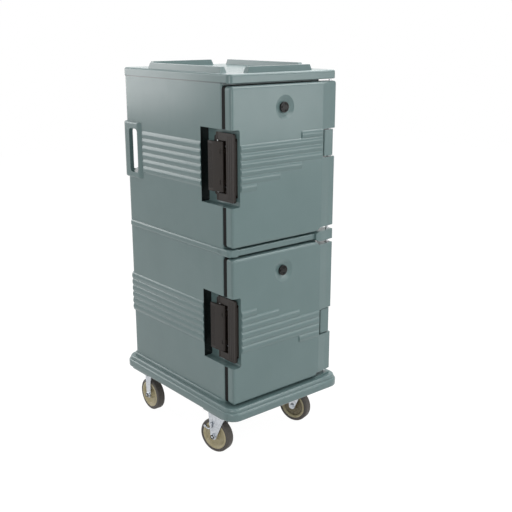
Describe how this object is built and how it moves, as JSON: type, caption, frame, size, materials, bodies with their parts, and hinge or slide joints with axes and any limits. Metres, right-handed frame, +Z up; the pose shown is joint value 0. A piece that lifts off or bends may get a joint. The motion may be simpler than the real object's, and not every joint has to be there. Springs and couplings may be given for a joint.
{
  "type": "insulated food pan carrier",
  "caption": "Tall insulated food pan carrier with stacked compartments, hinged doors with draw latches, pan rails, moulded corner handles and a bumper base on casters.",
  "frame": {"origin": "on the floor under the centre of the bumper base", "axes": "+Z up; the doors face -Y; +X is to the right as seen from the front, the hinge side"},
  "size_m": [0.521, 0.689, 1.36],
  "materials": {
    "shell": "semi-gloss rotationally moulded polyethylene, slate blue-grey",
    "foam": "rigid polyurethane foam, hidden in the walls",
    "nylon": "dark brown moulded nylon, satin",
    "vent": "black moulded plastic",
    "gasket": "grey rubber seal",
    "steel": "stainless steel rod and screws",
    "zinc": "bright zinc plated pressed steel",
    "wheel": "beige moulded wheel centre",
    "tyre": "dark grey-brown non-marking tread"
  },
  "bodies": {
    "cabinet": {"cabinet_shell": "shell", "cabinet_foam": "foam", "upper_hinge_rod": "steel", "lower_hinge_rod": "steel", "latch_base_screws": "steel", "upper_latch_base": "nylon", "upper_latch_pin": "steel", "lower_latch_base": "nylon", "lower_latch_pin": "steel", "caster_bolts": "zinc", "front_left_caster_plate": "zinc", "front_left_king_pin": "zinc", "front_right_caster_plate": "zinc", "front_right_king_pin": "zinc", "rear_left_fork": "zinc", "rear_left_axle": "zinc", "rear_left_bush": "zinc", "rear_right_fork": "zinc", "rear_right_axle": "zinc", "rear_right_bush": "zinc"},
    "upper_door": {"upper_door_shell": "shell", "upper_door_foam": "foam", "upper_door_gasket": "gasket", "upper_door_bushes": "nylon", "upper_latch_keeper": "nylon", "upper_keeper_screws": "steel"},
    "upper_vent": {"upper_vent_cap": "vent"},
    "upper_lever": {"upper_latch_lever": "nylon", "upper_loop_pin": "steel"},
    "upper_loop": {"upper_latch_loop": "nylon"},
    "lower_door": {"lower_door_shell": "shell", "lower_door_foam": "foam", "lower_door_gasket": "gasket", "lower_door_bushes": "nylon", "lower_latch_keeper": "nylon", "lower_keeper_screws": "steel"},
    "lower_vent": {"lower_vent_cap": "vent"},
    "lower_lever": {"lower_latch_lever": "nylon", "lower_loop_pin": "steel"},
    "lower_loop": {"lower_latch_loop": "nylon"},
    "front_left_swivel": {"front_left_fork": "zinc", "front_left_axle": "zinc", "front_left_bush": "zinc"},
    "front_left_brake_lever": {"front_left_brake": "zinc"},
    "front_left_wheel_unit": {"front_left_wheel": "wheel", "front_left_tyre": "tyre"},
    "front_right_swivel": {"front_right_fork": "zinc", "front_right_axle": "zinc", "front_right_bush": "zinc"},
    "front_right_brake_lever": {"front_right_brake": "zinc"},
    "front_right_wheel_unit": {"front_right_wheel": "wheel", "front_right_tyre": "tyre"},
    "rear_left_wheel_unit": {"rear_left_wheel": "wheel", "rear_left_tyre": "tyre"},
    "rear_right_wheel_unit": {"rear_right_wheel": "wheel", "rear_right_tyre": "tyre"}
  },
  "joints": [
    {"name": "upper_door_hinge", "type": "hinge", "parent": "cabinet", "child": "upper_door", "pos_m": [0.215, -0.3, 1.0455], "axis": [0, 0, 1], "range_deg": [0, 240]},
    {"name": "upper_vent_turn", "type": "hinge", "parent": "upper_door", "child": "upper_vent", "pos_m": [-0.008, -0.3205, 1.229], "axis": [0, 1, 0], "range_deg": [0, 90]},
    {"name": "upper_lever_hinge", "type": "hinge", "parent": "cabinet", "child": "upper_lever", "pos_m": [-0.21, -0.246, 1.0455], "axis": [0, 0, 1], "range_deg": [0, 120]},
    {"name": "upper_loop_hinge", "type": "hinge", "parent": "upper_lever", "child": "upper_loop", "pos_m": [-0.209, -0.222, 1.0455], "axis": [0, 0, 1], "range_deg": [-120, 0]},
    {"name": "lower_door_hinge", "type": "hinge", "parent": "cabinet", "child": "lower_door", "pos_m": [0.215, -0.3, 0.4925], "axis": [0, 0, 1], "range_deg": [0, 240]},
    {"name": "lower_vent_turn", "type": "hinge", "parent": "lower_door", "child": "lower_vent", "pos_m": [-0.008, -0.3205, 0.676], "axis": [0, 1, 0], "range_deg": [0, 90]},
    {"name": "lower_lever_hinge", "type": "hinge", "parent": "cabinet", "child": "lower_lever", "pos_m": [-0.21, -0.246, 0.4925], "axis": [0, 0, 1], "range_deg": [0, 120]},
    {"name": "lower_loop_hinge", "type": "hinge", "parent": "lower_lever", "child": "lower_loop", "pos_m": [-0.209, -0.222, 0.4925], "axis": [0, 0, 1], "range_deg": [-120, 0]},
    {"name": "front_left_swivel_turn", "type": "hinge", "parent": "cabinet", "child": "front_left_swivel", "pos_m": [-0.19, -0.216, 0.155], "axis": [0, 0, 1], "continuous": true},
    {"name": "front_left_wheel_turn", "type": "hinge", "parent": "front_left_swivel", "child": "front_left_wheel_unit", "pos_m": [-0.19932, -0.18123, 0.0635], "axis": [0.9659, 0.2588, 0], "continuous": true},
    {"name": "front_left_brake_hinge", "type": "hinge", "parent": "front_left_swivel", "child": "front_left_brake_lever", "pos_m": [-0.22431, -0.18068, 0.1115], "axis": [0.9659, 0.2588, 0], "range_deg": [0, 30]},
    {"name": "front_right_swivel_turn", "type": "hinge", "parent": "cabinet", "child": "front_right_swivel", "pos_m": [0.19, -0.216, 0.155], "axis": [0, 0, 1], "continuous": true},
    {"name": "front_right_wheel_turn", "type": "hinge", "parent": "front_right_swivel", "child": "front_right_wheel_unit", "pos_m": [0.18068, -0.18123, 0.0635], "axis": [0.9659, 0.2588, 0], "continuous": true},
    {"name": "front_right_brake_hinge", "type": "hinge", "parent": "front_right_swivel", "child": "front_right_brake_lever", "pos_m": [0.20205, -0.16825, 0.1115], "axis": [0.9659, 0.2588, 0], "range_deg": [0, 30]},
    {"name": "rear_left_wheel_turn", "type": "hinge", "parent": "cabinet", "child": "rear_left_wheel_unit", "pos_m": [-0.19, 0.257, 0.0635], "axis": [1, 0, 0], "continuous": true},
    {"name": "rear_right_wheel_turn", "type": "hinge", "parent": "cabinet", "child": "rear_right_wheel_unit", "pos_m": [0.19, 0.257, 0.0635], "axis": [1, 0, 0], "continuous": true}
  ],
  "couplings": [
    {"joint": "upper_loop_hinge", "follows": "upper_lever_hinge", "ratio": -1},
    {"joint": "lower_loop_hinge", "follows": "lower_lever_hinge", "ratio": -1}
  ]
}
